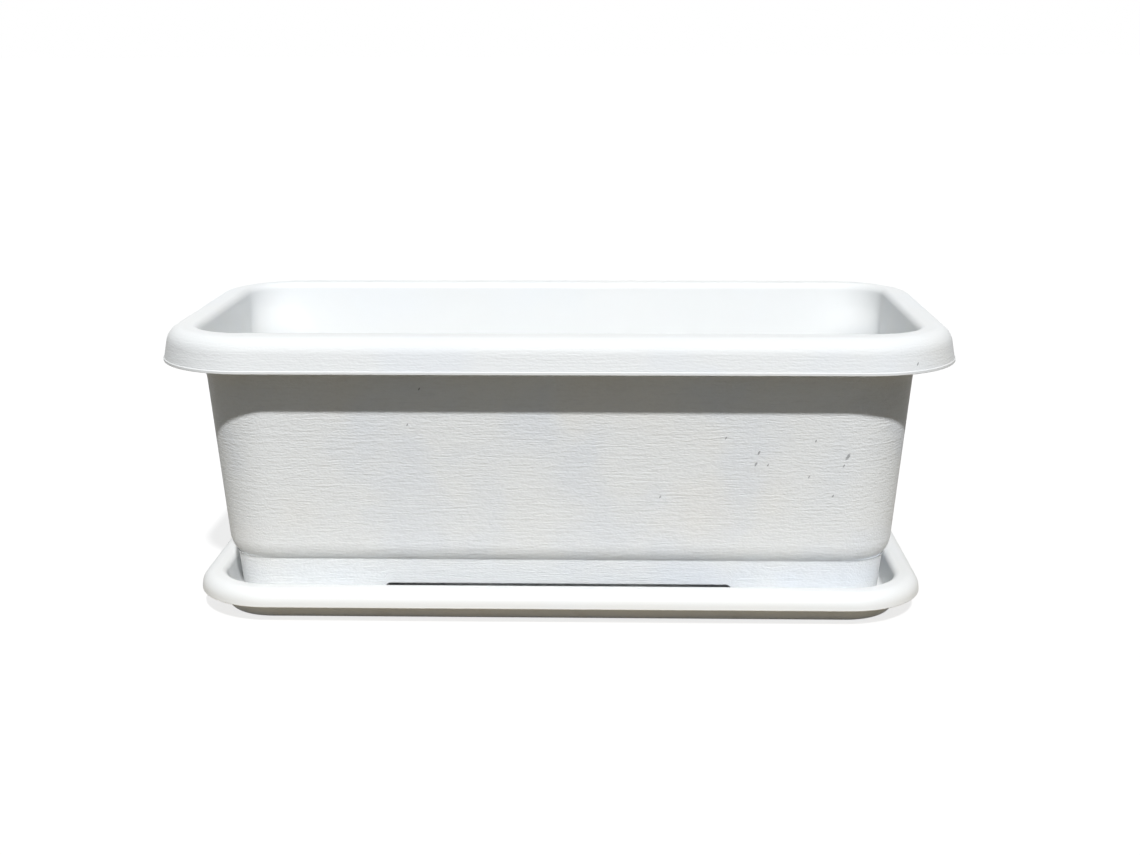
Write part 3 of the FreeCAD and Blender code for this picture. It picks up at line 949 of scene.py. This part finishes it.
class PLANTER_OT_make_tub(bpy.types.Operator):
    """Makes the trough: rolled rim, tapered body, shoulder, notched plinth and drained floor"""

    bl_idname = "planter.make_tub"
    bl_label = "Make the Tub"

    def execute(self, context):
        settings = context.scene.planter
        size = settings.tub
        bends, ledge, floor_top = tub_section(size)
        notch = (size.notch_length / 2, size.notch_height, size.notch_radius)
        rim = rim_wire(
            "tub_rim", TUB_HIGH.x, TUB_HIGH.y, size.foot_corner_radius + size.foot_inset, notch,
            size.end_reach)
        lip = size.drain_lip
        lip_radius = lip * LIP_ROUNDING
        drain = section_wire("drain_section", [
            Bend(0.0, size.floor_rise),
            Bend(lip, size.floor_rise, lip_radius),
            Bend(lip, floor_top, lip_radius),
            Bend(0.0, floor_top),
        ])
        finish = plastic("tub_plastic", settings.plastic, (*settings.plastic.tub_colour, 1), True)
        tub = moulded_piece("tub_moulding", {
            "Rim": rim,
            "Section": section_wire("tub_section", bends),
            "Drain Section": drain,
            "Floor Inset": ledge,
            "Floor Top": floor_top,
            "Floor Underside": size.floor_rise,
            "Foot Slope": (size.foot_inset - size.crease_inset) / size.plinth_height,
            "Foot Height": TUB_LOW.z,
            "Has Drains": True,
            "Drain Radius": size.drain_diameter / 2 + lip,
            "Drain Pitch": size.drain_pitch,
            "Drain Row Spacing": size.drain_row_spacing,
            "Drains Per Row": size.drains_per_row,
            "Drain Rows": size.drain_rows,
            "Mark Radius": size.mark_diameter / 2,
            "Mark Height": size.mark_height,
            "Material": finish,
        })
        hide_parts("planter_tub")
        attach(tub, "tub")
        return {"FINISHED"}


class PLANTER_OT_make_tray(bpy.types.Operator):
    """Makes the drip tray: rolled rim, low wall, floor and foot ring"""

    bl_idname = "planter.make_tray"
    bl_label = "Make the Tray"

    def execute(self, context):
        settings = context.scene.planter
        size = settings.tray
        bends, ledge, floor_top = tray_section(size)
        rim = rim_wire("tray_rim", TRAY_HIGH.x, TRAY_HIGH.y, size.corner_radius)
        finish = plastic(
            "tray_plastic", settings.plastic, (*settings.plastic.tray_colour, 1), False)
        tray = moulded_piece("tray_moulding", {
            "Rim": rim,
            "Section": section_wire("tray_section", bends),
            "Floor Inset": ledge,
            "Floor Top": floor_top,
            "Floor Underside": size.foot_height,
            "Foot Height": TRAY_LOW.z,
            "Has Drains": False,
            "Material": finish,
        })
        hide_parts("drip_tray")
        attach(tray, "tray")
        return {"FINISHED"}


class PLANTER_OT_make_stage(bpy.types.Operator):
    """Makes the pale floor, the soft studio light and the camera"""

    bl_idname = "planter.make_stage"
    bl_label = "Make the Stage"

    def execute(self, context):
        look = context.scene.planter.stage
        floor = floor_object(look)
        light_world(look)
        sun(look, "key")
        sun(look, "fill")
        sun(look, "front", look.front_colour)
        stand_camera(look)
        context.scene.view_settings.view_transform = "Standard"
        return {"FINISHED"}


def seen_directly(nodes):
    """1 for the camera's rays, and for rays that gloss or glass sends on."""
    path = nodes.add("ShaderNodeLightPath", None, None, "Is Camera Ray")
    seen = path + path.also("Is Glossy Ray") + path.also("Is Transmission Ray")
    return nodes.math("MINIMUM", seen, 1.0)


def floor_object(look):
    """A large pale floor that keeps the object's shadow."""
    half = look.floor_size / 2
    mesh = bpy.data.meshes.new("floor")
    corners = [(-half, -half, 0), (half, -half, 0), (half, half, 0), (-half, half, 0)]
    mesh.from_pydata(corners, [], [(0, 1, 2, 3)])
    floor = bpy.data.objects.new("floor", mesh)
    bpy.context.scene.collection.objects.link(floor)
    material = bpy.data.materials.new("pale_floor")
    material.use_nodes = True
    material.node_tree.nodes.clear()
    nodes = Nodes(material.node_tree)
    matt = nodes.add("ShaderNodeBsdfDiffuse", None, {"Color": (*look.floor_colour, 1)})
    glow = nodes.add("ShaderNodeEmission", None, {"Color": (1, 1, 1, 1), "Strength": GLOW})
    pale = nodes.add("ShaderNodeMixShader", None, {0: GLOW_SHARE, 1: matt, 2: glow})
    x, y, _ = nodes.separate(nodes.add("ShaderNodeTexCoord", None, None, "Object"))
    beside = nodes.math(
        "MAXIMUM", nodes.math("ABSOLUTE", x) - TRAY_HIGH.x,
        nodes.math("ABSOLUTE", y) - TRAY_HIGH.y)
    thrown = nodes.mix(
        nodes.ramp(beside, *BOUNCE_RANGE), (*look.near_bounce, 1), (*look.far_bounce, 1))
    bounce = nodes.add("ShaderNodeBsdfDiffuse", None, {"Color": thrown})
    both = nodes.add("ShaderNodeMixShader", None, {0: seen_directly(nodes), 1: bounce, 2: pale})
    nodes.add("ShaderNodeOutputMaterial", None, {"Surface": both})
    mesh.materials.append(material)
    return floor


def light_world(look):
    """Soft light from all sides, which the camera sees as plain white."""
    world = bpy.data.worlds.new("studio")
    world.use_nodes = True
    world.node_tree.nodes.clear()
    nodes = Nodes(world.node_tree)
    sky = nodes.add(
        "ShaderNodeBackground", None,
        {"Color": (*look.sky_colour, 1), "Strength": look.sky_strength})
    white = nodes.add("ShaderNodeBackground", None, {"Color": (1, 1, 1, 1), "Strength": 1.0})
    both = nodes.add("ShaderNodeMixShader", None, {0: seen_directly(nodes), 1: sky, 2: white})
    nodes.add("ShaderNodeOutputWorld", None, {"Surface": both})
    bpy.context.scene.world = world


def sun(look, name, tint=(1, 1, 1)):
    """A distant soft lamp, as its settings in the look say."""
    azimuth = getattr(look, f"{name}_azimuth")
    elevation = getattr(look, f"{name}_elevation")
    lamp = bpy.data.lights.new(f"{name}_light", "SUN")
    lamp.energy = getattr(look, f"{name}_strength")
    lamp.color = tint
    lamp.angle = getattr(look, f"{name}_softness")
    towards = Vector((
        math.sin(azimuth) * math.cos(elevation),
        -math.cos(azimuth) * math.cos(elevation),
        math.sin(elevation)))
    holder = bpy.data.objects.new(lamp.name, lamp)
    holder.location = towards * LAMP_DISTANCE
    holder.rotation_euler = towards.to_track_quat("Z", "Y").to_euler()
    bpy.context.scene.collection.objects.link(holder)


def stand_camera(look):
    """The camera, which looks along +Y before its turn, tilt and roll."""
    camera = bpy.data.cameras.new("camera")
    camera.sensor_width = SENSOR_WIDTH
    camera.lens = look.lens
    camera.clip_start, camera.clip_end = CAMERA_CLIP
    holder = bpy.data.objects.new("camera", camera)
    turn = Matrix.Rotation(look.camera_turn, 4, "Z")
    tilt = Matrix.Rotation(math.pi / 2 - look.camera_tilt, 4, "X")
    roll = Matrix.Rotation(look.camera_roll, 4, "Z")
    holder.matrix_world = Matrix.Translation(look.camera_place) @ turn @ tilt @ roll
    bpy.context.scene.collection.objects.link(holder)
    bpy.context.scene.camera = holder


class PLANTER_PT_sidebar(bpy.types.Panel):
    """Lists the sizes, the colours and the pieces"""

    bl_idname = "PLANTER_PT_sidebar"
    bl_label = "Herb Planter"
    bl_space_type = "VIEW_3D"
    bl_region_type = "UI"
    bl_category = "Planter"

    def draw(self, context):
        for title in ("tub", "tray", "stage"):
            self.list_settings(context, title)
            self.layout.operator(f"planter.make_{title}")
        self.list_settings(context, "plastic")

    def list_settings(self, context, title):
        """One box with every setting of a group."""
        group = getattr(context.scene.planter, title)
        box = self.layout.box()
        box.label(text=title.capitalize())
        for name in group.__annotations__:
            box.prop(group, name)


CLASSES = (
    TubSizes, TraySizes, PlasticLook, StageLook, PlanterSettings,
    PLANTER_OT_make_tub, PLANTER_OT_make_tray, PLANTER_OT_make_stage, PLANTER_PT_sidebar,
)


def register():
    for item in CLASSES:
        bpy.utils.register_class(item)
    bpy.types.Scene.planter = PointerProperty(
        type=PlanterSettings, name="Planter", description="Settings of the herb planter")


def unregister():
    del bpy.types.Scene.planter
    for item in reversed(CLASSES):
        bpy.utils.unregister_class(item)


def main():
    register()
    bpy.ops.planter.make_tray()
    bpy.ops.planter.make_tub()
    bpy.ops.planter.make_stage()


if __name__ == "__main__":
    main()
